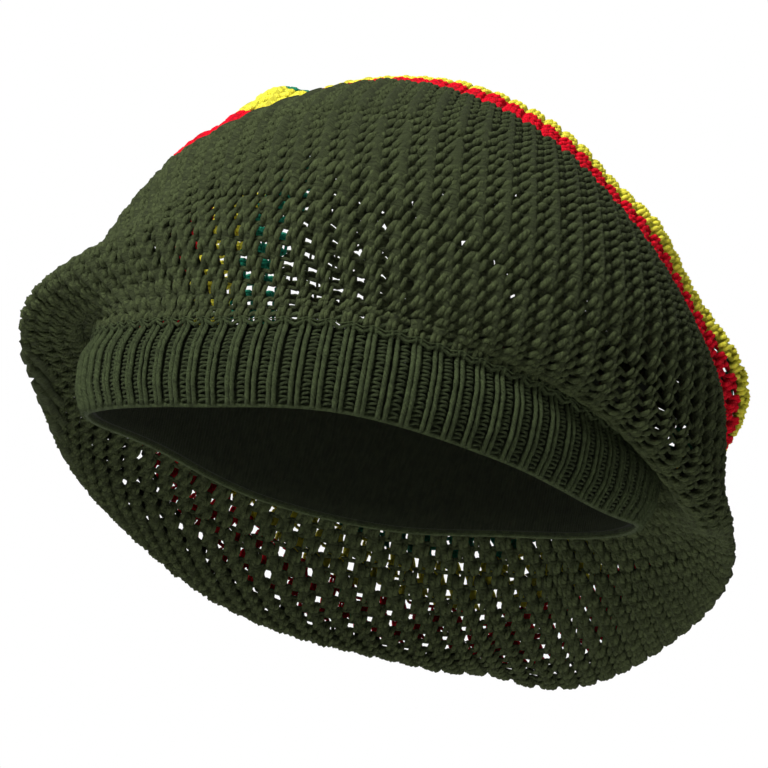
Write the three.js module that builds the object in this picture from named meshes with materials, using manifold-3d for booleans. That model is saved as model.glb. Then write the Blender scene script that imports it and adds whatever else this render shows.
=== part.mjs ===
// A knitted slouch tam: a ribbed cuff, a loose sack of open mesh, three stripes and a drawn-in crown.
// Millimetres, Z up. The front of the head is at -Y and the wearer's left at +X.
// The origin is the middle of the head opening, at the lower edge of the cuff.
import * as THREE from 'three';
import { mergeVertices } from 'three/addons/utils/BufferGeometryUtils.js';
import Module from 'manifold-3d';

// Head opening and cuff
const headLength = 196;
const headWidth = 162;
const cuffPitch = 12;
const cuffRoll = 4.3;
const cuffHeight = 23.5;
const cuffWall = 2.6;
const cuffBelly = 4;
const ribCount = 88;
const ribDepth = 0.9;

// Inner band, a smooth deep band inside the cuff that stands up at the back
const bandWall = 1.4;
const bandFront = 20;
const bandBack = 58;
const bandRecess = 0.8;

// Sack, from the cuff to the middle of the crown
const meshWall = 3;
const neckHeight = 5;
const bodyLength = 106;
const stripeWidth = 17;
const crownLength = 63;
const sideSpread = 37;
const frontSpread = 0.5;
const backSpread = 46;
const crownRise = 127;
const sackDrop = 70;
const foldHeight = 20;
const gatherDepth = 1.6;
const gatherCount = 12;

// Eyelets of the open mesh
const eyeletWidth = 2.6;
const eyeletLength = 3.2;
const meshRowHeight = 4.24;
const columnSkew = 0.2;

// What is kept between two pieces that meet
const seamGap = 0.35;

// How finely the pieces are faceted
const azimuthSteps = 60;

// Lengths that follow from the sizes above
const bandOut = bandWall;
const cuffInnerOut = bandOut + seamGap;
const cuffOuterOut = cuffInnerOut + cuffWall;
const seamOut = cuffInnerOut + cuffWall / 2 + 0.45 * cuffBelly;
const clothLength = bodyLength + 3 * stripeWidth + crownLength;
const sideReach = headWidth / 2 + cuffOuterOut + sideSpread;
const frontReach = headLength / 2 + cuffOuterOut + frontSpread;
const backReach = headLength / 2 + cuffOuterOut + backSpread;

// How the lower edge rises and dips round the head, as shares of the cuff's height
const rimLift = [
  { azimuth: 0, lift: -0.08 },
  { azimuth: 30, lift: 0.08 },
  { azimuth: 60, lift: -0.04 },
  { azimuth: 90, lift: -0.2 },
  { azimuth: 120, lift: 0 },
  { azimuth: 150, lift: 0.08 },
  { azimuth: 180, lift: 0.08 },
  { azimuth: 210, lift: -0.08 },
  { azimuth: 240, lift: -0.04 },
  { azimuth: 270, lift: 0.2 },
  { azimuth: 300, lift: 0.08 },
  { azimuth: 330, lift: -0.08 },
];

// The cuff's outer side from the hem up: level is a share of its height, swell of its belly
const cuffProfile = [
  { level: 0, swell: 0.05 },
  { level: 0.25, swell: 0.85 },
  { level: 0.7, swell: 1 },
  { level: 1, swell: 0.2 },
];

// The sack's rings. Along is a share of the cloth's length from the cuff to the middle of the crown.
// The front and back points are shares of the reaches: X of the side reach, Y of the front or back
// reach, Z of the crown's rise or of the sack's drop. Right and left are half widths as shares of
// the side reach, turn is in degrees, and the sags are shares of the crown's rise.
const rings = [
  { along: 0.055, frontX: 0.01, frontY: -0.905, frontZ: 0.435, backX: 0, backY: 0.76, backZ: -0.11,
    right: 0.79, left: 0.755, turn: 1, sagRight: -0.02, sagLeft: 0.085 },
  { along: 0.136, frontX: 0.02, frontY: -0.91, frontZ: 0.57, backX: 0.02, backY: 0.82, backZ: -0.37,
    right: 0.93, left: 0.815, turn: 3, sagRight: 0.06, sagLeft: 0.08 },
  { along: 0.236, frontX: 0.05, frontY: -0.83, frontZ: 0.72, backX: 0.02, backY: 0.88, backZ: -0.7,
    right: 1, left: 0.85, turn: 4, sagRight: 0.15, sagLeft: 0 },
  { along: 0.355, frontX: 0.065, frontY: -0.59, frontZ: 0.85, backX: -0.03, backY: 0.93, backZ: -0.96,
    right: 0.99, left: 0.815, turn: 6, sagRight: 0.2, sagLeft: -0.05 },
  { along: 0.455, frontX: 0.05, frontY: -0.29, frontZ: 0.93, backX: -0.11, backY: 0.95, backZ: -0.97,
    right: 0.92, left: 0.765, turn: 8, sagRight: 0.19, sagLeft: -0.05 },
  { along: 0.518, frontX: 0.04, frontY: -0.1, frontZ: 0.96, backX: -0.2, backY: 0.97, backZ: -0.77,
    right: 0.82, left: 0.725, turn: 9, sagRight: 0.16, sagLeft: -0.03 },
  { along: 0.595, frontX: 0.02, frontY: 0.095, frontZ: 1, backX: -0.28, backY: 0.99, backZ: -0.54,
    right: 0.7, left: 0.7, turn: 12, sagRight: 0.11, sagLeft: 0 },
  { along: 0.673, frontX: 0, frontY: 0.24, frontZ: 0.975, backX: -0.34, backY: 1, backZ: -0.31,
    right: 0.58, left: 0.64, turn: 15, sagRight: 0.06, sagLeft: 0.03 },
  { along: 0.75, frontX: -0.025, frontY: 0.38, frontZ: 0.9, backX: -0.39, backY: 0.985, backZ: -0.09,
    right: 0.455, left: 0.545, turn: 17, sagRight: 0.03, sagLeft: 0.03 },
  { along: 0.84, frontX: -0.065, frontY: 0.515, frontZ: 0.765, backX: -0.405, backY: 0.945, backZ: 0.095,
    right: 0.31, left: 0.365, turn: 18, sagRight: 0, sagLeft: 0 },
  { along: 0.93, frontX: -0.12, frontY: 0.62, frontZ: 0.63, backX: -0.365, backY: 0.88, backZ: 0.22,
    right: 0.155, left: 0.18, turn: 18, sagRight: 0, sagLeft: 0 },
  { along: 1, frontX: -0.245, frontY: 0.73, frontZ: 0.42, backX: -0.245, backY: 0.73, backZ: 0.42,
    right: 0, left: 0, turn: 18, sagRight: 0, sagLeft: 0 },
];

// Folds and dents: azimuth and spread in degrees, height and drop as shares of the fold height,
// outward and downward when positive, start and end as shares of the cloth's length
const folds = [
  { azimuth: 332, spread: 22, height: -0.5, drop: 0, start: 0.09, end: 0.36 },
  { azimuth: 316, spread: 20, height: -0.24, drop: 0, start: 0.22, end: 0.56 },
  { azimuth: 326, spread: 10, height: 0.58, drop: 0, start: 0.38, end: 0.6 },
  { azimuth: 331, spread: 7, height: 0.95, drop: 0, start: 0.46, end: 0.86 },
  { azimuth: 345, spread: 12, height: 0.15, drop: 0, start: 0.44, end: 0.76 },
  { azimuth: 54, spread: 9, height: -0.18, drop: 0, start: 0.41, end: 0.87 },
  { azimuth: 63, spread: 15, height: 0.28, drop: 0, start: 0.47, end: 0.83 },
  { azimuth: 101, spread: 18, height: 1.2, drop: 0, start: 0.4, end: 0.93 },
  { azimuth: 112, spread: 13, height: -0.95, drop: 0, start: 0.12, end: 0.56 },
  { azimuth: 138, spread: 18, height: 0.25, drop: 0, start: 0.09, end: 0.55 },
  { azimuth: 98, spread: 30, height: 0.3, drop: 0, start: 0.01, end: 0.22 },
  { azimuth: 103, spread: 26, height: 0, drop: 0.6, start: 0.005, end: 0.15 },
  { azimuth: 98, spread: 28, height: 0, drop: 0.7, start: 0.02, end: 0.3 },
  { azimuth: 308, spread: 25, height: 0.3, drop: 0, start: 0.01, end: 0.22 },
  { azimuth: 172, spread: 24, height: 0.55, drop: 0, start: 0.23, end: 0.65 },
  { azimuth: 208, spread: 25, height: -0.4, drop: 0, start: 0.23, end: 0.6 },
  { azimuth: 276, spread: 14, height: 0.22, drop: 0, start: 0.1, end: 0.6 },
  { azimuth: 188, spread: 6, height: -0.3, drop: 0, start: 0.07, end: 0.6 },
  { azimuth: 174, spread: 6, height: -0.25, drop: 0, start: 0.03, end: 0.4 },
];

// Where the open eyelets lie, counted on the mesh: the middle in columns round the cuff and rows
// up from it, how many there are each way, and how many columns and rows apart they are
const eyeletFields = [
  { column: 4, row: 4.6, columns: 6, rows: 6, columnStep: 1, rowStep: 1.25 },
  { column: 45.3, row: 12.2, columns: 7, rows: 4, columnStep: 4, rowStep: 4 },
];

const meshGreen = '#3a4229';
const cuffGreen = '#3d462c';
const shadeGreen = '#232819';
const stripeRed = '#cd0a23';
const stripeYellow = '#ebe11e';
const stripeGreen = '#147855';

const fullTurn = 2 * Math.PI;
const radians = THREE.MathUtils.degToRad;

// Axes of the cuff: across to the wearer's left, forward to the front, and up between them
const across = new THREE.Vector3(Math.cos(radians(cuffRoll)), 0, -Math.sin(radians(cuffRoll)));
const forward = new THREE.Vector3(0, -Math.cos(radians(cuffPitch)), Math.sin(radians(cuffPitch)));
const cuffUp = forward.clone().cross(across).normalize();

// A smooth closed curve through the lift table, at an azimuth in radians
function liftAt(azimuth) {
  const count = rimLift.length;
  const place = ((azimuth / fullTurn) * count + count) % count;
  const first = Math.floor(place);
  const value = (step) => rimLift[(first + step + count) % count].lift;
  const part = place - first;
  const slopeIn = (value(1) - value(-1)) / 2;
  const slopeOut = (value(2) - value(0)) / 2;
  const square = part * part;
  const cube = square * part;
  return value(0) * (2 * cube - 3 * square + 1) + slopeIn * (cube - 2 * square + part)
    + value(1) * (3 * square - 2 * cube) + slopeOut * (cube - square);
}

// A point beside the cuff: height above its lower edge and distance out from the head's oval
function cuffPoint(azimuth, height, out) {
  const sideways = (headWidth / 2 + out) * Math.sin(azimuth);
  const ahead = (headLength / 2 + out) * Math.cos(azimuth);
  return new THREE.Vector3()
    .addScaledVector(across, sideways)
    .addScaledVector(forward, ahead)
    .addScaledVector(cuffUp, height + liftAt(azimuth) * cuffHeight);
}

// The direction straight out of the cuff
function cuffOutward(azimuth) {
  return cuffPoint(azimuth, 0, 1).sub(cuffPoint(azimuth, 0, 0)).normalize();
}

// A point of one of the sack's rings
function ringPoint(ring, azimuth) {
  const depth = (share) => share * (share < 0 ? frontReach : backReach);
  const height = (share) => share * (share < 0 ? sackDrop : crownRise);
  const front = new THREE.Vector3(ring.frontX * sideReach, depth(ring.frontY), height(ring.frontZ));
  const back = new THREE.Vector3(ring.backX * sideReach, depth(ring.backY), height(ring.backZ));
  const side = Math.sin(azimuth);
  const width = (side > 0 ? ring.left : ring.right) * sideReach * side;
  const roll = ((ring.sagLeft - ring.sagRight) / 2) * crownRise * side;
  const sag = ((ring.sagLeft + ring.sagRight) / 2) * crownRise * side * side;
  const turn = radians(ring.turn);
  return back.lerp(front, (1 + Math.cos(azimuth)) / 2)
    .add(new THREE.Vector3(width * Math.cos(turn), width * Math.sin(turn), -roll - sag));
}

// The line that the cloth follows at one azimuth, from the cuff to the middle of the crown
const meridians = new Map();
function meridianAt(azimuth) {
  const key = azimuth.toFixed(6);
  if (!meridians.has(key)) {
    const start = cuffPoint(azimuth, cuffHeight + seamGap, seamOut);
    const neck = cuffPoint(azimuth, cuffHeight + seamGap + neckHeight, seamOut);
    const points = [start, neck, ...rings.map((ring) => ringPoint(ring, azimuth))];
    meridians.set(key, new THREE.CatmullRomCurve3(points, false, 'catmullrom', 0.5));
  }
  return meridians.get(key);
}

// The place of a share of the cloth's length on that line
const ringPlaces = [0, neckHeight / clothLength, ...rings.map((ring) => ring.along)];
function placeOf(share) {
  const held = THREE.MathUtils.clamp(share, 0, 1);
  const next = Math.max(1, ringPlaces.findIndex((place) => place >= held));
  const part = (held - ringPlaces[next - 1]) / (ringPlaces[next] - ringPlaces[next - 1]);
  return (next - 1 + part) / (ringPlaces.length - 1);
}

function smoothPoint(share, azimuth) {
  return meridianAt(azimuth).getPoint(placeOf(share));
}

// The outward direction of a surface that is given as a function of share and azimuth
const shareStep = 0.004;
const azimuthStep = 0.01;
function outwardOf(surface, share, azimuth) {
  const held = THREE.MathUtils.clamp(share, shareStep, 0.99 - shareStep);
  const up = surface(held + shareStep, azimuth).sub(surface(held - shareStep, azimuth));
  const round = surface(held, azimuth + azimuthStep).sub(surface(held, azimuth - azimuthStep));
  return round.cross(up).normalize();
}

// How far the folds move the cloth, from one column of their table: out for height, down for drop
function foldAt(share, azimuth, column) {
  let moved = 0;
  for (const fold of folds) {
    const turned = THREE.MathUtils.radToDeg(azimuth) - fold.azimuth;
    const away = THREE.MathUtils.euclideanModulo(turned + 180, 360) - 180;
    const part = THREE.MathUtils.clamp((share - fold.start) / (fold.end - fold.start), 0, 1);
    const rise = Math.sin(Math.PI * part) ** 2;
    moved += fold[column] * foldHeight * rise * Math.exp(-((away / fold.spread) ** 2));
  }
  return moved;
}

// How far the crown's gathers push the cloth out
function gatherAt(share, azimuth) {
  const topStart = 1 - crownLength / clothLength;
  const drawn = THREE.MathUtils.smoothstep(share, topStart, 1) * (1 - share) / (1 - topStart);
  return 4 * drawn * gatherDepth * Math.cos(gatherCount * azimuth);
}

// The middle of the ring at a share of the cloth's length
function middleAt(share) {
  const middle = new THREE.Vector3();
  for (let quarter = 0; quarter < 4; quarter += 1) {
    middle.addScaledVector(smoothPoint(share, quarter * fullTurn / 4), 0.25);
  }
  return middle;
}

// A point in the middle of the cloth: the folds push it straight out from the middle of its ring
function clothPoint(share, azimuth) {
  const point = smoothPoint(share, azimuth);
  const away = point.clone().sub(middleAt(share));
  const push = foldAt(share, azimuth, 'height') + gatherAt(share, azimuth);
  point.addScaledVector(away.normalize(), push);
  point.z -= foldAt(share, azimuth, 'drop');
  return point;
}

// The direction through the cloth, which turns to the cuff's own near the cuff
function clothOutward(share, azimuth) {
  const direction = outwardOf(clothPoint, share, azimuth);
  const free = THREE.MathUtils.smoothstep(share, 0, ringPlaces[1]);
  return cuffOutward(azimuth).lerp(direction, free).normalize();
}

// A closed shell from rows of outer points and rows of inner points, each row a full ring.
// Where the last row is drawn in to one point it is passed as a single point.
function shellGeometry(outerRows, innerRows) {
  const positions = [];
  const indices = [];
  const place = (rows) => rows.map((row) => row.map((point) => positions.push(...point.toArray()) / 3 - 1));
  const band = (lower, upper) => {
    for (let i = 0; i < lower.length; i += 1) {
      const j = (i + 1) % lower.length;
      if (upper.length === 1) {
        indices.push(lower[i], lower[j], upper[0]);
      } else {
        indices.push(lower[i], lower[j], upper[j], lower[i], upper[j], upper[i]);
      }
    }
  };
  const outer = place(outerRows);
  const inner = place(innerRows);
  for (let row = 1; row < outer.length; row += 1) {
    band(outer[row - 1], outer[row]);
  }
  for (let row = inner.length - 1; row > 0; row -= 1) {
    if (inner[row].length === 1) {
      for (let i = 0; i < inner[row - 1].length; i += 1) {
        const j = (i + 1) % inner[row - 1].length;
        indices.push(inner[row - 1][j], inner[row - 1][i], inner[row][0]);
      }
    } else {
      band(inner[row], inner[row - 1]);
    }
  }
  band(inner[0], outer[0]);
  if (outer.at(-1).length > 1) {
    // Split like the first band, so that two pieces' edges match at a seam
    const lastOuter = outer.at(-1);
    const lastInner = inner.at(-1);
    for (let i = 0; i < lastOuter.length; i += 1) {
      const j = (i + 1) % lastOuter.length;
      indices.push(lastOuter[i], lastOuter[j], lastInner[i], lastOuter[j], lastInner[j], lastInner[i]);
    }
  }
  const geometry = new THREE.BufferGeometry();
  geometry.setAttribute('position', new THREE.Float32BufferAttribute(positions, 3));
  geometry.setIndex(indices);
  geometry.computeVertexNormals();
  return geometry;
}

function azimuths(count) {
  return Array.from({ length: count }, (unused, i) => (fullTurn * i) / count);
}

// The cloth between two lengths from the cuff, in a number of rows, closer together at the start
// where the power is above one. It stops short of the next piece by the gap of the seam, and its
// last row is cut in that piece's own direction, so that the two edges are parallel.
function clothGeometry(from, to, rowCount, power = 1) {
  const outerRows = [];
  const innerRows = [];
  const end = to < clothLength ? to - seamGap : to;
  for (let row = 0; row <= rowCount; row += 1) {
    const share = (from + (end - from) * (row / rowCount) ** power) / clothLength;
    const cutShare = row === rowCount ? to / clothLength : share;
    const sides = [[], []];
    for (const azimuth of azimuths(azimuthSteps)) {
      const middle = clothPoint(share, azimuth);
      const outward = clothOutward(cutShare, azimuth);
      sides[0].push(middle.clone().addScaledVector(outward, meshWall / 2));
      sides[1].push(middle.clone().addScaledVector(outward, -meshWall / 2));
    }
    if (share > 1 - shareStep) {
      const middle = smoothPoint(1, 0);
      const outward = outwardOf(smoothPoint, 0.9, 0).add(outwardOf(smoothPoint, 0.9, Math.PI)).normalize();
      outerRows.push([middle.clone().addScaledVector(outward, meshWall / 2)]);
      innerRows.push([middle.clone().addScaledVector(outward, -meshWall / 2)]);
    } else {
      outerRows.push(sides[0]);
      innerRows.push(sides[1]);
    }
  }
  return shellGeometry(outerRows, innerRows);
}

// The ribbed cuff: two points to a rib all round, and the belly of the folded edge
function cuffGeometry() {
  const around = azimuths(2 * ribCount);
  const outerRows = cuffProfile.map(({ level, swell }) => around.map((azimuth, i) => {
    const rib = i % 2 === 0 ? 0 : -ribDepth;
    return cuffPoint(azimuth, level * cuffHeight, cuffOuterOut + swell * cuffBelly + rib);
  }));
  const innerRows = [0, 1].map((level) => (
    around.map((azimuth) => cuffPoint(azimuth, level * cuffHeight, cuffInnerOut))));
  return shellGeometry(outerRows, innerRows);
}

// The inner band: just above the cuff's lower edge, low at the front and high at the back
function bandGeometry() {
  const around = azimuths(azimuthSteps);
  const top = (azimuth) => bandFront + (bandBack - bandFront) * ((1 - Math.cos(azimuth)) / 2) ** 1.5;
  const side = (out) => [
    around.map((azimuth) => cuffPoint(azimuth, bandRecess, out)),
    around.map((azimuth) => cuffPoint(azimuth, top(azimuth), out)),
  ];
  return shellGeometry(side(bandOut), side(0));
}

const wasm = await Module();
wasm.setup();

function solidOf(geometry) {
  const bare = geometry.clone();
  bare.deleteAttribute('normal');
  bare.deleteAttribute('uv');
  const merged = mergeVertices(bare, 1e-5);
  return new wasm.Manifold(new wasm.Mesh({
    numProp: 3,
    vertProperties: Float32Array.from(merged.attributes.position.array),
    triVerts: Uint32Array.from(merged.index.array),
  }));
}

function geometryOf(solid) {
  const mesh = solid.getMesh();
  const geometry = new THREE.BufferGeometry();
  geometry.setAttribute('position', new THREE.Float32BufferAttribute(mesh.vertProperties, 3));
  geometry.setIndex(new THREE.Uint32BufferAttribute(mesh.triVerts, 1));
  geometry.computeVertexNormals();
  return geometry;
}

// A four-sided pin through the cloth, the shape of one eyelet
function eyeletPin(share, azimuth) {
  const pin = new THREE.CylinderGeometry(0.5, 0.5, 2 * meshWall, 4);
  const outward = clothOutward(share, azimuth);
  const up = clothPoint(share + shareStep, azimuth).sub(clothPoint(share - shareStep, azimuth));
  const round = up.clone().cross(outward).normalize();
  const along = outward.clone().cross(round).normalize();
  const frame = new THREE.Matrix4().makeBasis(
    round.multiplyScalar(-eyeletWidth), outward, along.multiplyScalar(eyeletLength));
  frame.setPosition(clothPoint(share, azimuth));
  return pin.applyMatrix4(frame);
}

function pierced(geometry) {
  let solid = solidOf(geometry);
  for (const field of eyeletFields) {
    for (let i = 0; i < field.columns; i += 1) {
      for (let j = 0; j < field.rows; j += 1) {
        const row = field.row + (j - (field.rows - 1) / 2) * field.rowStep;
        const lean = columnSkew * (row - field.row);
        const column = field.column + (i - (field.columns - 1) / 2) * field.columnStep + lean;
        const share = (row * meshRowHeight) / clothLength;
        solid = solid.subtract(solidOf(eyeletPin(share, (fullTurn * column) / ribCount)));
      }
    }
  }
  return geometryOf(solid);
}

function piece(name, geometry, color, roughness) {
  const mesh = new THREE.Mesh(geometry, new THREE.MeshStandardMaterial({ color, roughness, metalness: 0 }));
  mesh.name = name;
  return mesh;
}

const redStart = bodyLength;
const yellowStart = redStart + stripeWidth;
const greenStart = yellowStart + stripeWidth;
const crownStart = greenStart + stripeWidth;

const tam = new THREE.Group();
tam.name = 'rasta_tam';
tam.add(piece('cuff', cuffGeometry(), cuffGreen, 0.95));
tam.add(piece('inner_band', bandGeometry(), shadeGreen, 0.95));
tam.add(piece('crown_body', pierced(clothGeometry(0, redStart, 12, 1.4)), meshGreen, 0.95));
tam.add(piece('stripe_red', clothGeometry(redStart, yellowStart, 2), stripeRed, 0.9));
tam.add(piece('stripe_yellow', clothGeometry(yellowStart, greenStart, 2), stripeYellow, 0.9));
tam.add(piece('stripe_green', clothGeometry(greenStart, crownStart, 2), stripeGreen, 0.9));
tam.add(piece('crown_top', clothGeometry(crownStart, clothLength, 5), meshGreen, 0.95));

export default tam;
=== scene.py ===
import math

import bpy
import numpy as np
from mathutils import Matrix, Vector


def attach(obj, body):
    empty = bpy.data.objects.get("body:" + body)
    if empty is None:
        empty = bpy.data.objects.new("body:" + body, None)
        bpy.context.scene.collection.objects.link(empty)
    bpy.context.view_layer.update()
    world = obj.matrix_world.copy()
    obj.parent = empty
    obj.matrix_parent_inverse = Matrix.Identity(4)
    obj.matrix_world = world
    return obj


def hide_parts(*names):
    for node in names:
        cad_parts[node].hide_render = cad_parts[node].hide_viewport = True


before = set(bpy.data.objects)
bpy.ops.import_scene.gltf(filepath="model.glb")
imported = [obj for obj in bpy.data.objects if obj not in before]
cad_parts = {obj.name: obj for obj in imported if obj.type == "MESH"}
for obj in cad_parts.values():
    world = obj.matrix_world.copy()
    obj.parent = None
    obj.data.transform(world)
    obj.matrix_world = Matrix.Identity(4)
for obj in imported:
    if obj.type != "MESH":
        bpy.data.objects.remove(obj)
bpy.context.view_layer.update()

MM = 0.001
FULL_TURN = 2 * math.pi
TINY = 1e-9

# Head opening and cuff, in millimetres as in the solids
HEAD_LENGTH = 196
HEAD_WIDTH = 162
CUFF_PITCH = 12
CUFF_ROLL = 4.3
CUFF_HEIGHT = 23.5
CUFF_WALL = 2.6
CUFF_BELLY = 4
RIB_COUNT = 88

# Inner band
BAND_WALL = 1.4
BAND_FRONT = 20
BAND_BACK = 58
BAND_RECESS = 0.8

# Sack
NECK_HEIGHT = 5
BODY_LENGTH = 106
STRIPE_WIDTH = 17
CROWN_LENGTH = 63
SIDE_SPREAD = 37
FRONT_SPREAD = 0.5
BACK_SPREAD = 46
CROWN_RISE = 127
SACK_DROP = 70
FOLD_HEIGHT = 20
GATHER_DEPTH = 1.6
GATHER_COUNT = 12
SEAM_GAP = 0.35
COLUMN_SKEW = 0.2

BAND_OUT = BAND_WALL
CUFF_INNER_OUT = BAND_OUT + SEAM_GAP
CUFF_OUTER_OUT = CUFF_INNER_OUT + CUFF_WALL
SEAM_OUT = CUFF_INNER_OUT + CUFF_WALL / 2 + 0.45 * CUFF_BELLY
CLOTH_LENGTH = BODY_LENGTH + 3 * STRIPE_WIDTH + CROWN_LENGTH
SIDE_REACH = HEAD_WIDTH / 2 + CUFF_OUTER_OUT + SIDE_SPREAD
FRONT_REACH = HEAD_LENGTH / 2 + CUFF_OUTER_OUT + FRONT_SPREAD
BACK_REACH = HEAD_LENGTH / 2 + CUFF_OUTER_OUT + BACK_SPREAD

# How the lower edge rises and dips, every 30 degrees from the front, in shares of the cuff's height
RIM_LIFT = (-0.08, 0.08, -0.04, -0.2, 0, 0.08, 0.08, -0.08, -0.04, 0.2, 0.08, -0.08)

# The cuff's outer side from the hem up: level and swell
CUFF_PROFILE = ((0, 0.05), (0.25, 0.85), (0.7, 1), (1, 0.2))

# The profile is averaged over these levels beside its own, so that it bends smoothly
PROFILE_SPAN = (-0.1, -0.05, 0, 0.05, 0.1)

# The sack's rings: along, front X, Y and Z, back X, Y and Z, right, left, turn, sag right, sag left
RINGS = (
    (0.055, 0.01, -0.905, 0.435, 0, 0.76, -0.11, 0.79, 0.755, 1, -0.02, 0.085),
    (0.136, 0.02, -0.91, 0.57, 0.02, 0.82, -0.37, 0.93, 0.815, 3, 0.06, 0.08),
    (0.236, 0.05, -0.83, 0.72, 0.02, 0.88, -0.7, 1, 0.85, 4, 0.15, 0),
    (0.355, 0.065, -0.59, 0.85, -0.03, 0.93, -0.96, 0.99, 0.815, 6, 0.2, -0.05),
    (0.455, 0.05, -0.29, 0.93, -0.11, 0.95, -0.97, 0.92, 0.765, 8, 0.19, -0.05),
    (0.518, 0.04, -0.1, 0.96, -0.2, 0.97, -0.77, 0.82, 0.725, 9, 0.16, -0.03),
    (0.595, 0.02, 0.095, 1, -0.28, 0.99, -0.54, 0.7, 0.7, 12, 0.11, 0),
    (0.673, 0, 0.24, 0.975, -0.34, 1, -0.31, 0.58, 0.64, 15, 0.06, 0.03),
    (0.75, -0.025, 0.38, 0.9, -0.39, 0.985, -0.09, 0.455, 0.545, 17, 0.03, 0.03),
    (0.84, -0.065, 0.515, 0.765, -0.405, 0.945, 0.095, 0.31, 0.365, 18, 0, 0),
    (0.93, -0.12, 0.62, 0.63, -0.365, 0.88, 0.22, 0.155, 0.18, 18, 0, 0),
    (1, -0.245, 0.73, 0.42, -0.245, 0.73, 0.42, 0, 0, 18, 0, 0),
)

# Folds and dents: azimuth, spread, height, drop, start, end
FOLDS = (
    (332, 22, -0.5, 0, 0.09, 0.36),
    (316, 20, -0.24, 0, 0.22, 0.56),
    (326, 10, 0.58, 0, 0.38, 0.6),
    (331, 7, 0.95, 0, 0.46, 0.86),
    (345, 12, 0.15, 0, 0.44, 0.76),
    (54, 9, -0.18, 0, 0.41, 0.87),
    (63, 15, 0.28, 0, 0.47, 0.83),
    (101, 18, 1.2, 0, 0.4, 0.93),
    (112, 13, -0.95, 0, 0.12, 0.56),
    (138, 18, 0.25, 0, 0.09, 0.55),
    (98, 30, 0.3, 0, 0.01, 0.22),
    (103, 26, 0, 0.6, 0.005, 0.15),
    (98, 28, 0, 0.7, 0.02, 0.3),
    (308, 25, 0.3, 0, 0.01, 0.22),
    (172, 24, 0.55, 0, 0.23, 0.65),
    (208, 25, -0.4, 0, 0.23, 0.6),
    (276, 14, 0.22, 0, 0.1, 0.6),
    (188, 6, -0.3, 0, 0.07, 0.6),
    (174, 6, -0.25, 0, 0.03, 0.4),
)

# Strands of one cell of the mesh: across in columns, up in rows, out in millimetres, thickness.
# The first leans up through the cell and runs on to the next column as the shelf under a hole.
FIRST_LEG = np.array((
    (-0.40, -0.05, -0.90, 0.10),
    (-0.36, 0.08, -0.20, 0.85),
    (-0.29, 0.30, 0.60, 1.00),
    (-0.20, 0.56, 0.95, 1.00),
    (-0.11, 0.80, 0.65, 1.00),
    (0.00, 0.96, -0.10, 0.95),
    (0.22, 1.03, -0.70, 0.95),
    (0.46, 1.02, -0.45, 0.95),
    (0.66, 0.98, -0.55, 0.95),
    (0.80, 0.95, -0.90, 0.10),
))
SECOND_LEG = np.array((
    (-0.14, 0.10, -0.80, 0.10),
    (-0.10, 0.25, 0.10, 0.90),
    (-0.03, 0.52, 0.95, 1.00),
    (0.05, 0.78, 0.95, 1.00),
    (0.12, 1.02, 0.25, 0.95),
    (0.17, 1.18, -0.80, 0.10),
))
THIRD_LEG = np.array((
    (0.10, -0.12, -0.80, 0.10),
    (0.14, 0.03, 0.00, 0.90),
    (0.21, 0.30, 0.70, 1.00),
    (0.29, 0.56, 0.70, 1.00),
    (0.36, 0.80, 0.05, 0.95),
    (0.41, 0.96, -0.90, 0.10),
))

# How far the strands of a cell stray at random: across, up, out and in thickness
STRAY = np.array((0.02, 0.03, 0.1, 0.05))

STRAND_RADIUS = 0.86
STRAND_SIDES = 5

# The thick hidden strand under each column
CORE_RADIUS = 2.1
CORE_DEPTH = -0.7
CORE_SIDES = 5
CORE_STEPS = 2
CORE_TIP = 0.1

# Painted shade and painted light: the yarn's colour is made darker deep in the mesh and lighter on top, at
# these depths by these factors
PAINTED_SHADE_DEPTHS = (-0.9, 0.9)
DEPTH_PAINTED_SHADES = (0.6, 1.16)

# Where the mesh is drawn open: azimuth, spread, share, spread in share, how much thinner
OPEN_PLACES = (
    (17, 13, 0.08, 0.06, 0.36),
    (350, 26, 0.24, 0.13, -0.35),
    (25, 22, 0.3, 0.14, -0.35),
    (338, 16, 0.06, 0.1, -0.3),
    (54, 18, 0.22, 0.2, -0.25),
    (152, 28, 0.25, 0.2, -0.35),
    (218, 45, 0.2, 0.17, -0.12),
    (205, 50, 0.57, 0.12, 0.25),
    (292, 24, 0.74, 0.12, 0.35),
    (270, 60, 0.9, 0.1, 0.2),
    (112, 36, 0.84, 0.12, -0.45),
    (5, 36, 0.42, 0.12, -0.3),
    (76, 10, 0.17, 0.05, 0.3),
    (98, 14, 0.66, 0.08, 0.3),
    (345, 24, 0.47, 0.16, -0.45),
    (350, 30, 0.63, 0.08, -0.35),
)

# Where the mesh is open, strands less than this far across a cell move to the column's line, by this share
PULL_REACH = 0.45
PULL_SHARE = 0.8


def smooth_step(value, low, high):
    """0 below low, 1 above high, and smooth between them."""
    part = np.clip((value - low) / (high - low), 0, 1)
    return part * part * (3 - 2 * part)


def unit(vectors):
    """Vectors of length one, in the same directions."""
    return vectors / np.maximum(np.linalg.norm(vectors, axis=-1, keepdims=True), TINY)


def curve_between(before, here, after, beyond, part):
    """Points of the smooth curve through four knots, between the middle two."""
    slope_in = (after - before) / 2
    slope_out = (beyond - here) / 2
    square = part * part
    cube = square * part
    return (here * (2 * cube - 3 * square + 1) + slope_in * (cube - 2 * square + part)
            + after * (3 * square - 2 * cube) + slope_out * (cube - square))


# Axes of the cuff
roll_angle = math.radians(CUFF_ROLL)
pitch_angle = math.radians(CUFF_PITCH)
ACROSS = np.array((math.cos(roll_angle), 0, -math.sin(roll_angle)))
FORWARD = np.array((0, -math.cos(pitch_angle), math.sin(pitch_angle)))
CUFF_UP = unit(np.cross(FORWARD, ACROSS))


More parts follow.
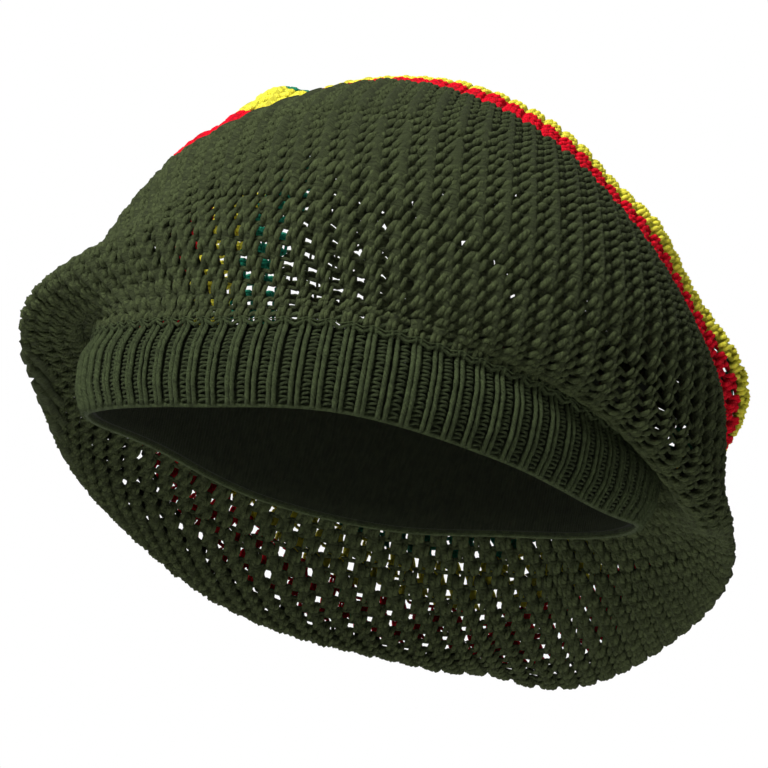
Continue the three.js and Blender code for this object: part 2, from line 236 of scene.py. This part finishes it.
def lift_at(azimuth):
    """The rise of the lower edge, a smooth closed curve through its table."""
    table = np.array(RIM_LIFT)
    count = len(table)
    place = (azimuth / FULL_TURN * count) % count
    first = np.floor(place).astype(int)
    knots = (table[(first + step) % count] for step in (-1, 0, 1, 2))
    return curve_between(*knots, place - first)


def cuff_point(azimuth, height, out):
    """Points beside the cuff: height above its lower edge and distance out from the head's oval."""
    sideways = (HEAD_WIDTH / 2 + out) * np.sin(azimuth)
    ahead = (HEAD_LENGTH / 2 + out) * np.cos(azimuth)
    rise = height + lift_at(azimuth) * CUFF_HEIGHT
    return sideways[..., None] * ACROSS + ahead[..., None] * FORWARD + rise[..., None] * CUFF_UP


def ring_point(ring, azimuth):
    """Points of one of the sack's rings."""
    (_, front_x, front_y, front_z, back_x, back_y, back_z, right, left, turn, sag_right, sag_left) = ring

    def corner(x, y, z):
        depth = y * (FRONT_REACH if y < 0 else BACK_REACH)
        height = z * (SACK_DROP if z < 0 else CROWN_RISE)
        return np.array((x * SIDE_REACH, depth, height))

    side = np.sin(azimuth)
    width = np.where(side > 0, left, right) * SIDE_REACH * side
    drop = ((sag_left - sag_right) / 2 * side + (sag_left + sag_right) / 2 * side * side) * CROWN_RISE
    blend = (1 + np.cos(azimuth)) / 2
    points = corner(back_x, back_y, back_z) * (1 - blend)[..., None]
    points = points + corner(front_x, front_y, front_z) * blend[..., None]
    points[..., 0] += width * math.cos(math.radians(turn))
    points[..., 1] += width * math.sin(math.radians(turn))
    points[..., 2] -= drop
    return points


def smooth_surface(shares, azimuths):
    """The cloth without folds, as a grid of shares by azimuths."""
    seam_height = CUFF_HEIGHT + SEAM_GAP
    rows = [
        cuff_point(azimuths, np.full_like(azimuths, seam_height), SEAM_OUT),
        cuff_point(azimuths, np.full_like(azimuths, seam_height + NECK_HEIGHT), SEAM_OUT),
    ]
    rows += [ring_point(ring, azimuths) for ring in RINGS]
    rows = [2 * rows[0] - rows[1]] + rows + [2 * rows[-1] - rows[-2]]
    knots = np.array(rows)
    places = np.array([0, NECK_HEIGHT / CLOTH_LENGTH] + [ring[0] for ring in RINGS])
    held = np.clip(shares, 0, 1)
    first = np.clip(np.searchsorted(places, held, side="left") - 1, 0, len(places) - 2)
    part = ((held - places[first]) / (places[first + 1] - places[first]))[:, None, None]
    return curve_between(*(knots[first + step] for step in (0, 1, 2, 3)), part)


def fold_push(shares, azimuths):
    """How far the folds and the crown's gathers push the cloth out, and how far the folds drop it."""
    push = np.zeros((len(shares), len(azimuths)))
    sunk = np.zeros((len(shares), len(azimuths)))
    degrees = np.degrees(azimuths)
    for azimuth, spread, height, drop, start, end in FOLDS:
        away = (degrees - azimuth + 180) % 360 - 180
        part = np.clip((shares - start) / (end - start), 0, 1)
        rise = np.sin(math.pi * part) ** 2
        moved = FOLD_HEIGHT * rise[:, None] * np.exp(-((away / spread) ** 2))[None]
        push += height * moved
        sunk += drop * moved

    # This share is a quarter at its greatest, so four times it takes the gathers to their depth
    top_start = 1 - CROWN_LENGTH / CLOTH_LENGTH
    drawn = smooth_step(shares, top_start, 1) * (1 - shares) / (1 - top_start)
    push += 4 * GATHER_DEPTH * drawn[:, None] * np.cos(GATHER_COUNT * azimuths)[None]
    return push, sunk


class Drape:
    """The middle of the cloth and its outward direction, held on a fine grid."""

    ROWS = 520
    STEPS = 704

    # From this share on, outward is nearly one direction, because the crown closes to a point
    CROWN_TIP = 0.985
    TIP_VARIETY = 0.2

    def __init__(self):
        shares = np.linspace(0, 1, self.ROWS + 1)
        azimuths = np.arange(self.STEPS) * FULL_TURN / self.STEPS
        smooth = smooth_surface(shares, azimuths)
        quarter = self.STEPS // 4
        middle = smooth[:, ::quarter].mean(axis=1, keepdims=True)
        push, sunk = fold_push(shares, azimuths)
        self.points = smooth + unit(smooth - middle) * push[..., None]
        self.points[..., 2] -= sunk
        up = np.gradient(self.points, axis=0)
        around = np.roll(self.points, -1, axis=1) - np.roll(self.points, 1, axis=1)
        normals = unit(np.cross(around, up))
        last = int(self.ROWS * self.CROWN_TIP)
        normals[last:] = normals[last]
        shared = normals[last:].mean(axis=1, keepdims=True)
        normals[last:] = unit(shared + self.TIP_VARIETY * normals[last:])
        self.normals = normals

    def at(self, share, azimuth):
        """Points and outward directions, for arrays of shares and azimuths."""
        row = np.clip(share, 0, 1) * self.ROWS
        low = np.minimum(row.astype(int), self.ROWS - 1)
        up = (row - low)[..., None]
        column = (azimuth / FULL_TURN * self.STEPS) % self.STEPS
        left = column.astype(int) % self.STEPS
        right = (left + 1) % self.STEPS
        over = (column - np.floor(column))[..., None]

        def mix(grid):
            lower = grid[low, left] * (1 - over) + grid[low, right] * over
            upper = grid[low + 1, left] * (1 - over) + grid[low + 1, right] * over
            return lower * (1 - up) + upper * up

        return mix(self.points), unit(mix(self.normals))


def tubes(centres, normals, radii, sides, shade=1.0, closed=False):
    """Vertices, faces, UVs and shades of many tubes at once: centres are strands by points by XYZ."""
    strands, points = centres.shape[:2]
    if closed:
        tangents = np.roll(centres, -1, axis=1) - np.roll(centres, 1, axis=1)
    else:
        tangents = np.gradient(centres, axis=1)
    tangents = unit(tangents)
    side = unit(np.cross(tangents, normals))
    front = np.cross(side, tangents)
    angles = np.arange(sides) * FULL_TURN / sides
    ring = front[:, :, None] * np.cos(angles)[:, None] + side[:, :, None] * np.sin(angles)[:, None]
    vertices = centres[:, :, None] + ring * radii[:, :, None, None]
    index = np.arange(strands * points * sides).reshape(strands, points, sides)
    spans = points if closed else points - 1
    here = index[:, :spans]
    there = np.roll(index, -1, axis=1)[:, :spans]
    faces = np.stack((here, np.roll(here, -1, axis=2), np.roll(there, -1, axis=2), there), axis=-1)
    steps = np.linalg.norm(np.diff(centres, axis=1), axis=-1)
    along = np.concatenate((np.zeros((strands, 1)), np.cumsum(steps, axis=1)), axis=1)
    uv = np.empty((strands, points, sides, 2))
    uv[..., 0] = along[:, :, None]
    uv[..., 1] = (np.arange(sides) / sides)[None, None]
    shades = np.zeros((strands, points, sides)) + np.asarray(shade)[..., None]
    return vertices.reshape(-1, 3), faces.reshape(-1, 4), uv.reshape(-1, 2), shades.ravel()


def joined(parts):
    """One set of vertices, faces, UVs and shades from several."""
    faces = []
    count = 0
    for vertices, part_faces, _, _ in parts:
        faces.append(part_faces + count)
        count += len(vertices)
    vertices, _, uvs, shades = (np.concatenate(columns) for columns in zip(*parts))
    return vertices, np.concatenate(faces), uvs, shades


def mesh_piece(name, part, material, node):
    """A piece of the scene from vertices in millimetres, faces of four corners, UVs and shades."""
    vertices, faces, uvs, shades = part
    mesh = bpy.data.meshes.new(name)
    mesh.vertices.add(len(vertices))
    mesh.vertices.foreach_set("co", (vertices * MM).astype(np.float32).ravel())
    mesh.loops.add(faces.size)
    mesh.loops.foreach_set("vertex_index", faces.astype(np.int32).ravel())
    mesh.polygons.add(len(faces))
    mesh.polygons.foreach_set("loop_start", np.arange(0, faces.size, 4, dtype=np.int32))
    mesh.polygons.foreach_set("use_smooth", np.ones(len(faces), dtype=bool))

    # A face that closes the turn round a strand ends at 1, and doesn't run back to 0
    corners = uvs[faces]
    turn = corners[..., 1]
    crossing = (turn.max(axis=1) - turn.min(axis=1) > 0.5)[:, None]
    corners[..., 1] = np.where(crossing & (turn == 0), 1, turn)
    layer = mesh.uv_layers.new(name="strand")
    layer.data.foreach_set("uv", corners.astype(np.float32).ravel())
    # The shade attribute scales the colour: painted shade deep in the mesh and between the ribs, painted
    # light on top, and a lighter seam thread
    depth = mesh.attributes.new("shade", "FLOAT", "POINT")
    depth.data.foreach_set("value", shades.astype(np.float32))
    mesh.update(calc_edges=True)
    mesh.materials.append(material)
    piece = bpy.data.objects.new(name, mesh)
    bpy.context.scene.collection.objects.link(piece)
    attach(piece, "root")
    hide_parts(node)
    return piece


def openness(share, azimuth):
    """How open the mesh is drawn: 0 as knitted, more where it is thinner and less where thicker."""
    drawn = np.zeros_like(share)
    degrees = np.degrees(azimuth)
    for place, spread, middle, reach, thinner in OPEN_PLACES:
        away = (degrees - place + 180) % 360 - 180
        drawn += thinner * np.exp(-((away / spread) ** 2) - ((share - middle) / reach) ** 2)
    return drawn


def mesh_rows(drape, start, length, rows, columns, rng, first_row=0, scale=1.0):
    """The open mesh from a length from the cuff, in rows and columns of leaning strands."""
    row_height = length / rows
    column_turn = FULL_TURN / columns

    def lay(row, column, across, up, out, thick, radius, sides):
        share = (start + (row + up) * row_height) / CLOTH_LENGTH
        azimuth = (column - COLUMN_SKEW * (first_row + row + up)) * column_turn
        drawn = openness(share, azimuth)
        pulled = np.where(across < PULL_REACH, across * (1 - PULL_SHARE * drawn), across)
        points, normals = drape.at(share, azimuth + pulled * column_turn)
        centres = points + normals * (out * scale)[..., None]
        # Painted shade and light: strands deep in the mesh are coloured darker, those on top lighter
        shade = np.interp(out, PAINTED_SHADE_DEPTHS, DEPTH_PAINTED_SHADES)
        return tubes(centres, normals, radius * thick * (1 - drawn) * scale, sides, shade)

    row, column = np.meshgrid(np.arange(rows), np.arange(columns), indexing="ij")
    row = row.reshape(-1, 1).astype(float)
    column = column.reshape(-1, 1).astype(float)
    stray = rng.normal(0, 1, (len(row), len(STRAY))) * STRAY
    parts = []
    for strand in (FIRST_LEG, SECOND_LEG, THIRD_LEG):
        across = strand[None, :, 0] + stray[:, :1]
        up = strand[None, :, 1] + stray[:, 1:2]
        out = strand[None, :, 2] + stray[:, 2:3]
        thick = strand[None, :, 3] * (1 + stray[:, 3:])
        parts.append(lay(row, column, across, up, out, thick, STRAND_RADIUS, STRAND_SIDES))

    up = np.arange(rows * CORE_STEPS + 1)[None] / CORE_STEPS
    column = np.arange(columns).reshape(-1, 1).astype(float)
    out = np.full_like(up, CORE_DEPTH) + np.zeros_like(column)
    thick = np.ones_like(up)
    thick[:, [0, -1]] = CORE_TIP
    across = np.zeros_like(up)
    parts.append(lay(np.zeros_like(column), column, across, up, out, thick, CORE_RADIUS, CORE_SIDES))
    return joined(parts)


# Plies of the yarn, and how many millimetres they take to go round once
PLIES = 3
PLY_PITCH = 4.5

# Scales of the noise in the wool: clouds and fuzz go by metres, fibres by the strand's lengths and turns
CLOUD_SCALE = 420
FUZZ_SCALE = 2600
FIBRE_SCALE = 2.4
FIBRE_ROUGHNESS = 0.7
FIBRE_ALONG = 0.35
FIBRE_AROUND = 0.4
FIBRE_APART = 90

# How much each counts in the colour and in the relief, and the colour's range
FIBRE_TONE = 1.5
# The plies in the colour are painted shade in the crevices between them and painted light on their crests
PLY_PAINTED_SHADE = 0.04
TONE_RANGE = (0.95, 1.5)
TONE_TOP = 2
FIBRE_RELIEF = 1.8
PLY_RELIEF = 0.12
RELIEF_DEPTH = 0.0009

WOOL_SHEEN = 0.4
WOOL_ROUGHNESS = 0.95
WOOL_SPECULAR = 0.15


def add_node(tree, kind, **values):
    """A node with its settings."""
    made = tree.nodes.new(kind)
    for name, value in values.items():
        setattr(made, name, value)
    return made


def math_node(tree, operation, *terms):
    """A sum, product or the like of numbers and of other nodes' outputs."""
    made = add_node(tree, "ShaderNodeMath", operation=operation)
    for socket, value in zip(made.inputs, terms):
        if isinstance(value, (int, float)):
            socket.default_value = value
        else:
            tree.links.new(value, socket)
    return made.outputs["Value"]


def noise_node(tree, vector, scale, detail, roughness=0.5):
    """Noise over a vector."""
    made = add_node(tree, "ShaderNodeTexNoise")
    made.inputs["Scale"].default_value = scale
    made.inputs["Detail"].default_value = detail
    made.inputs["Roughness"].default_value = roughness
    tree.links.new(vector, made.inputs["Vector"])
    return made.outputs["Fac"]


def yarn_pattern(tree, place):
    """The fibres and the plies of a strand, from its UVs in millimetres along and turns round."""
    strand = add_node(tree, "ShaderNodeUVMap", uv_map="strand")
    split = add_node(tree, "ShaderNodeSeparateXYZ")
    tree.links.new(strand.outputs["UV"], split.inputs["Vector"])
    along, turns = split.outputs["X"], split.outputs["Y"]
    twist = math_node(tree, "MULTIPLY", along, FULL_TURN / PLY_PITCH)
    around = math_node(tree, "MULTIPLY_ADD", turns, FULL_TURN, twist)

    # Round the strand the fibres follow a circle, so they meet where its UVs begin again
    circle = add_node(tree, "ShaderNodeCombineXYZ")
    across = math_node(tree, "MULTIPLY", math_node(tree, "COSINE", around), FIBRE_AROUND)
    aside = math_node(tree, "MULTIPLY", math_node(tree, "SINE", around), FIBRE_AROUND)
    tree.links.new(math_node(tree, "MULTIPLY", along, FIBRE_ALONG), circle.inputs["X"])
    tree.links.new(across, circle.inputs["Y"])
    tree.links.new(aside, circle.inputs["Z"])
    apart = add_node(tree, "ShaderNodeVectorMath", operation="MULTIPLY_ADD")
    apart.inputs[1].default_value = (FIBRE_APART, FIBRE_APART, FIBRE_APART)
    tree.links.new(place, apart.inputs[0])
    tree.links.new(circle.outputs["Vector"], apart.inputs[2])
    fibres = noise_node(tree, apart.outputs["Vector"], FIBRE_SCALE, 5, FIBRE_ROUGHNESS)
    plies = math_node(tree, "SINE", math_node(tree, "MULTIPLY", around, PLIES))
    return fibres, plies


def wool(name, dark, light, sheen=WOOL_SHEEN):
    """Soft wool: two colours in clouds and in fibres along the strand, with painted shade deep in the mesh
    and painted light on top.
    """
    material = bpy.data.materials.new(name)
    material.use_nodes = True
    tree = material.node_tree
    link = tree.links.new
    shader = tree.nodes["Principled BSDF"]
    shader.inputs["Roughness"].default_value = WOOL_ROUGHNESS
    shader.inputs["Specular IOR Level"].default_value = WOOL_SPECULAR
    shader.inputs["Sheen Weight"].default_value = sheen
    shader.inputs["Sheen Roughness"].default_value = 0.5
    shader.inputs["Sheen Tint"].default_value = (*light, 1)

    place = add_node(tree, "ShaderNodeTexCoord").outputs["Object"]
    clouds = noise_node(tree, place, CLOUD_SCALE, 4)
    fibres, plies = yarn_pattern(tree, place)
    tone = math_node(tree, "MULTIPLY_ADD", fibres, FIBRE_TONE, clouds)
    # Painted shade between the plies, painted light on their crests
    tone = math_node(tree, "MULTIPLY_ADD", plies, PLY_PAINTED_SHADE, tone)
    ramp = add_node(tree, "ShaderNodeValToRGB")
    for stop, value, colour in zip(ramp.color_ramp.elements, TONE_RANGE, (dark, light)):
        stop.position = value / TONE_TOP
        stop.color = (*colour, 1)
    link(math_node(tree, "MULTIPLY", tone, 1 / TONE_TOP), ramp.inputs["Fac"])
    # Painted shade and light: the colour is scaled by the shade attribute of each point
    depth = add_node(tree, "ShaderNodeAttribute", attribute_name="shade")
    painted_shade_colour = add_node(tree, "ShaderNodeVectorMath", operation="SCALE")
    link(ramp.outputs["Color"], painted_shade_colour.inputs[0])
    link(depth.outputs["Fac"], painted_shade_colour.inputs["Scale"])
    link(painted_shade_colour.outputs["Vector"], shader.inputs["Base Color"])

    fuzz = noise_node(tree, place, FUZZ_SCALE, 3)
    relief = math_node(tree, "MULTIPLY_ADD", fibres, FIBRE_RELIEF, fuzz)
    relief = math_node(tree, "MULTIPLY_ADD", plies, PLY_RELIEF, relief)
    bump = add_node(tree, "ShaderNodeBump")
    bump.inputs["Strength"].default_value = 1.0
    bump.inputs["Distance"].default_value = RELIEF_DEPTH
    link(relief, bump.inputs["Height"])
    link(bump.outputs["Normal"], shader.inputs["Normal"])
    return material


# Ribs of the cuff: two legs to each, from under the hem to behind the seam
RIB_TURN = FULL_TURN / RIB_COUNT
RIB_LEG_RADIUS = 0.76
LEG_SPREAD = 0.135
LEG_TIP_RADIUS = 0.1
LEG_STEPS = 25
LEG_WANDER = 0.02
LEG_UNEVEN = 0.09

# The ends of a leg: level and how far out
LEG_FOOT = np.array((
    (0.05, CUFF_INNER_OUT + 1.2),
    (-0.02, CUFF_INNER_OUT + 1.7),
    (-0.035, CUFF_OUTER_OUT - 0.9),
    (-0.02, CUFF_OUTER_OUT - 0.4),
))
LEG_TOP = np.array((
    (1.05, SEAM_OUT + 0.9),
    (1.12, SEAM_OUT),
))

# The bumps between the ribs: across in ribs and out in millimetres, and how far each row leans
PURL_BUMP = np.array(((0.3, -0.9), (0.42, 0.2), (0.62, 0.3), (0.76, -0.9)))
PURL_LEANS = (0.7, -0.3)
PURL_UNEVEN = 0.2
PURL_RADIUS = 0.44
PURL_ROWS = 20
# The bumps' colour is darkened as painted shade in the troughs between the ribs
PURL_PAINTED_SHADE = 0.8
PURL_DEPTH = 1.3
PURL_START = 0.01
PURL_SHARE = 0.98

# Cords that run round the cuff, and how many steps they take
CUFF_STEPS = RIB_COUNT * 4
HEM_LEVEL = -0.015
HEM_OUT = 0.9
HEM_RADIUS = 0.85

# Rows of the seam: height over the ribs, reach of the zigzag, out, radius, shade
SEAM_ROWS = ((0.4, 0.9, 0.5, 0.7, 1), (2.0, -0.8, 0.4, 0.7, 1), (1.2, 0.5, 1.3, 0.2, 1.4))

# The ground behind the ribs, and the band's fine ribs and rise to the back
GROUND_DEPTH = 2.1
SHELL_ROWS = 9
BAND_RIBS = 440
BAND_RIB_DEPTH = 0.22
BAND_SWEEP = 1.5

# UV steps of a shell, round it and up it
SHELL_ROUND_STEP = 0.5
SHELL_UP_STEP = 0.25


def profile_out(level):
    """How far out the cuff's ribs stand at a level."""
    table = np.array(CUFF_PROFILE)
    level = np.asarray(level, float)
    span = np.array(PROFILE_SPAN).reshape((-1,) + (1,) * level.ndim)
    bellies = np.interp(level[None] + span, table[:, 0], table[:, 1])
    return CUFF_OUTER_OUT + CUFF_BELLY * bellies.mean(axis=0)


def on_cuff(azimuth, level, out):
    """Points on the cuff and the directions outward, for levels from 0 at the hem to 1 at the seam."""
    height = level * CUFF_HEIGHT
    points = cuff_point(azimuth, height, out)
    nudge = cuff_point(azimuth, height, out + 1) - points
    return points, unit(nudge)


def round_the_cuff():
    """The azimuths of the cords and of the ground."""
    return np.arange(CUFF_STEPS) * FULL_TURN / CUFF_STEPS


def rib_legs(side, rng):
    """The left or the right leg of every rib."""
    middle = np.linspace(0, 1, LEG_STEPS)[1:]
    level = np.concatenate((LEG_FOOT[:, 0], middle, LEG_TOP[:, 0]))
    out = np.concatenate((LEG_FOOT[:, 1], profile_out(middle) - RIB_LEG_RADIUS, LEG_TOP[:, 1]))
    rib = np.arange(RIB_COUNT)
    azimuth = (rib[:, None] + side * LEG_SPREAD) * RIB_TURN + np.zeros_like(level)[None]
    azimuth = azimuth + rng.normal(0, LEG_WANDER, (RIB_COUNT, 1)) * RIB_TURN
    levels = np.broadcast_to(level, azimuth.shape)
    points, normals = on_cuff(azimuth, levels, np.broadcast_to(out, azimuth.shape))
    radii = RIB_LEG_RADIUS * (1 + rng.normal(0, LEG_UNEVEN, azimuth.shape))
    radii[:, -1] = LEG_TIP_RADIUS
    return tubes(points, normals, radii, STRAND_SIDES)


def purl_bumps(rng):
    """The rows of small bumps between the ribs."""
    across, bulge = PURL_BUMP[:, 0], PURL_BUMP[:, 1]
    row, column = np.meshgrid(np.arange(PURL_ROWS), np.arange(RIB_COUNT), indexing="ij")
    row = row.reshape(-1, 1)
    lean = np.where(row % 2 == 0, *PURL_LEANS) + rng.normal(0, PURL_UNEVEN, row.shape)
    azimuth = (column.reshape(-1, 1) + across[None]) * RIB_TURN
    levels = (row + 0.5 + lean * (across[None] - 0.5) * 2) / PURL_ROWS * PURL_SHARE + PURL_START
    points, normals = on_cuff(azimuth, levels, profile_out(levels) - PURL_DEPTH + bulge[None])
    # Painted shade: the bumps in the troughs are coloured darker
    return tubes(points, normals, np.full(azimuth.shape, PURL_RADIUS), CORE_SIDES, PURL_PAINTED_SHADE)


def hem_cord():
    """The cord that closes the cuff below."""
    azimuth = round_the_cuff()[None]
    points, normals = on_cuff(azimuth, np.full_like(azimuth, HEM_LEVEL), CUFF_INNER_OUT + HEM_OUT)
    return tubes(points, normals, np.full(azimuth.shape, HEM_RADIUS), STRAND_SIDES, closed=True)


def seam_row(middle, reach, out, radius, shade):
    """A zigzag between the ribs and the mesh, one wave to each rib."""
    quarter = np.arange(CUFF_STEPS)
    azimuth = (quarter * RIB_TURN / 4)[None]
    wave = np.cos(quarter * math.pi / 2)[None]
    level = 1 + (middle + reach * wave) / CUFF_HEIGHT
    points, normals = on_cuff(azimuth, level, SEAM_OUT + out)
    return tubes(points, normals, np.full(azimuth.shape, radius), STRAND_SIDES, shade, closed=True)


def shell(rows):
    """Vertices, faces, UVs and shades of a closed ring-shaped shell, from rows of points round it."""
    points = np.array(rows)
    count, steps = points.shape[:2]
    here = np.arange(count * steps).reshape(count, steps)
    there = np.roll(here, -1, axis=0)
    faces = np.stack((here, np.roll(here, -1, axis=1), np.roll(there, -1, axis=1), there), axis=-1)
    uv = np.zeros((count, steps, 2))
    uv[..., 0] = np.arange(steps)[None] * SHELL_ROUND_STEP
    uv[..., 1] = np.arange(count)[:, None] * SHELL_UP_STEP
    return points.reshape(-1, 3), faces.reshape(-1, 4), uv.reshape(-1, 2), np.ones(count * steps)


def cuff_ground():
    """The ground that the ribs lie on, coloured dark as painted shade between the ribs."""
    azimuth = round_the_cuff()
    outside = [(level, profile_out(level) - GROUND_DEPTH) for level in np.linspace(0, 1, SHELL_ROWS)]
    inside = [(level, CUFF_INNER_OUT) for level in (1, 0)]
    rows = [cuff_point(azimuth, np.full_like(azimuth, CUFF_HEIGHT * level), out)
            for level, out in outside + inside]
    return shell(rows)


def band_shell():
    """The inner band, with fine upright ribs on its inner face."""
    steps = BAND_RIBS * 2
    azimuth = np.arange(steps) * FULL_TURN / steps
    top = BAND_FRONT + (BAND_BACK - BAND_FRONT) * ((1 - np.cos(azimuth)) / 2) ** BAND_SWEEP
    rib = np.where(np.arange(steps) % 2 == 0, 0.0, BAND_RIB_DEPTH)
    inside = [(part, rib) for part in np.linspace(0, 1, SHELL_ROWS)]
    outside = [(part, np.full_like(rib, BAND_OUT)) for part in (1, 0)]
    rows = [cuff_point(azimuth, BAND_RECESS + (top - BAND_RECESS) * part, out)
            for part, out in inside + outside]
    vertices, faces, uv, shades = shell(rows)
    return vertices, faces[:, ::-1], uv, shades


# Colours, linear
OLIVE_DARK = (0.020, 0.025, 0.009)
OLIVE_LIGHT = (0.058, 0.074, 0.028)
CUFF_DARK = (0.020, 0.027, 0.010)
CUFF_LIGHT = (0.052, 0.070, 0.027)
# The inner band's colours are the yarn darkened as painted shade inside the hat
BAND_PAINTED_SHADE_DARK = (0.007, 0.009, 0.004)
BAND_PAINTED_SHADE_LIGHT = (0.014, 0.018, 0.008)
RED_DARK = (0.66, 0.001, 0.012)
RED_LIGHT = (0.95, 0.002, 0.024)
YELLOW_DARK = (0.84, 0.76, 0.05)
YELLOW_LIGHT = (1.0, 0.94, 0.09)
GREEN_DARK = (0.006, 0.12, 0.07)
GREEN_LIGHT = (0.014, 0.26, 0.15)

# Rows of mesh in the three parts of the sack's body, and in a stripe
BODY_PARTS = (("low", 9), ("middle", 8), ("high", 8))
STRIPE_ROWS = 4

# The crown loses half its columns twice on the way in: length, rows, columns, thickness
CROWN_ZONES = ((24, 5, 88, 1.05), (20, 5, 44, 1.3), (18.2, 4, 22, 1.4))


def build_cuff(rng):
    rib_wool = wool("rib_wool", CUFF_DARK, CUFF_LIGHT)
    # The ground between the ribs takes dark colours as painted shade
    ground_painted_shade_wool = wool("rib_ground_painted_shade", BAND_PAINTED_SHADE_DARK, CUFF_DARK)
    # The inner band is coloured dark as painted shade inside the hat
    band_painted_shade_wool = wool("band_painted_shade_wool", BAND_PAINTED_SHADE_DARK, BAND_PAINTED_SHADE_LIGHT, sheen=0.1)
    parts = [rib_legs(-1, rng), rib_legs(1, rng), purl_bumps(rng), hem_cord()]
    parts += [seam_row(*row) for row in SEAM_ROWS]
    mesh_piece("cuff_ribs", joined(parts), rib_wool, "cuff")
    mesh_piece("cuff_ground", cuff_ground(), ground_painted_shade_wool, "cuff")
    mesh_piece("inner_band_knit", band_shell(), band_painted_shade_wool, "inner_band")


def build_sack(rng):
    """The body, the stripes and the crown, row after row from the cuff."""
    drape = Drape()
    olive = wool("olive_wool", OLIVE_DARK, OLIVE_LIGHT)
    red = wool("red_wool", RED_DARK, RED_LIGHT, sheen=0.15)
    yellow = wool("yellow_wool", YELLOW_DARK, YELLOW_LIGHT)
    green = wool("green_wool", GREEN_DARK, GREEN_LIGHT)

    body_row = BODY_LENGTH / sum(rows for _, rows in BODY_PARTS)
    laid = 0
    for name, rows in BODY_PARTS:
        part = mesh_rows(drape, laid * body_row, rows * body_row, rows, RIB_COUNT, rng, laid)
        mesh_piece("body_mesh_" + name, part, olive, "crown_body")
        laid += rows

    start = BODY_LENGTH
    for name, material in (("red", red), ("yellow", yellow), ("green", green)):
        part = mesh_rows(drape, start, STRIPE_WIDTH, STRIPE_ROWS, RIB_COUNT, rng, laid)
        mesh_piece("stripe_" + name + "_mesh", part, material, "stripe_" + name)
        start += STRIPE_WIDTH
        laid += STRIPE_ROWS

    parts = []
    for length, rows, columns, scale in CROWN_ZONES:
        skewed = laid * columns / RIB_COUNT
        parts.append(mesh_rows(drape, start, length, rows, columns, rng, skewed, scale))
        start += length
        laid += rows
    mesh_piece("crown_top_mesh", joined(parts), olive, "crown_top")


# Floor and light, in metres and watts
FLOOR_SIZE = 3
FLOOR_HEIGHT = -0.36
FLOOR_COLOUR = (0.85, 0.85, 0.84, 1)
FLOOR_ROUGHNESS = 0.9
ROOM_LIGHT = 0.33
KEY_PLACE = (-0.12, -1.15, 1.35)
KEY_TARGET = (0, 0, 0.03)
KEY_SIZE = 0.6
KEY_POWER = 58

# Camera at the photograph's viewing angle
CAMERA_AZIMUTH = 30
CAMERA_ELEVATION = -1
CAMERA_DISTANCE = 0.9
CAMERA_LENS = 132.2
CAMERA_SENSOR = 36
CAMERA_REACH = 20
AIM_RIGHT = 0.00574
AIM_UP = 0.02904


def add_floor():
    material = bpy.data.materials.new("floor_paint")
    material.use_nodes = True
    shader = material.node_tree.nodes["Principled BSDF"]
    shader.inputs["Base Color"].default_value = FLOOR_COLOUR
    shader.inputs["Roughness"].default_value = FLOOR_ROUGHNESS
    bpy.ops.mesh.primitive_plane_add(size=FLOOR_SIZE, location=(0, 0, FLOOR_HEIGHT))
    floor = bpy.context.object
    floor.name = "floor"
    floor.data.materials.append(material)


def aim(thing, place, target):
    """Put a light or the camera in its place and turn it to its target."""
    thing.location = place
    thing.rotation_euler = (Vector(target) - Vector(place)).to_track_quat("-Z", "Y").to_euler()
    bpy.context.scene.collection.objects.link(thing)


def add_key_light():
    data = bpy.data.lights.new("key", "AREA")
    data.shape = "DISK"
    data.size = KEY_SIZE
    data.energy = KEY_POWER
    aim(bpy.data.objects.new("key", data), KEY_PLACE, KEY_TARGET)


def add_world():
    """A white room that lights the object less than it shows behind it."""
    world = bpy.data.worlds.new("studio")
    bpy.context.scene.world = world
    world.use_nodes = True
    tree = world.node_tree
    background = tree.nodes["Background"]
    background.inputs["Color"].default_value = (1, 1, 1, 1)
    seen = add_node(tree, "ShaderNodeLightPath")
    strength = add_node(tree, "ShaderNodeMapRange")
    strength.inputs["To Min"].default_value = ROOM_LIGHT
    strength.inputs["To Max"].default_value = 1.0
    tree.links.new(seen.outputs["Is Camera Ray"], strength.inputs["Value"])
    tree.links.new(strength.outputs["Result"], background.inputs["Strength"])


def add_camera():
    azimuth = math.radians(CAMERA_AZIMUTH)
    elevation = math.radians(CAMERA_ELEVATION)
    level = math.cos(elevation)
    back = Vector((math.sin(azimuth) * level, -math.cos(azimuth) * level, math.sin(elevation)))
    right = Vector((math.cos(azimuth), math.sin(azimuth), 0))
    up = back.cross(right)
    data = bpy.data.cameras.new("camera")
    data.lens = CAMERA_LENS
    data.sensor_width = CAMERA_SENSOR
    data.clip_end = CAMERA_REACH
    camera = bpy.data.objects.new("camera", data)
    aim(camera, back * CAMERA_DISTANCE, right * AIM_RIGHT + up * AIM_UP)
    bpy.context.scene.camera = camera


rng = np.random.default_rng(11)
build_cuff(rng)
build_sack(rng)
add_floor()
add_world()
add_key_light()
add_camera()
bpy.context.scene.view_settings.view_transform = "Standard"
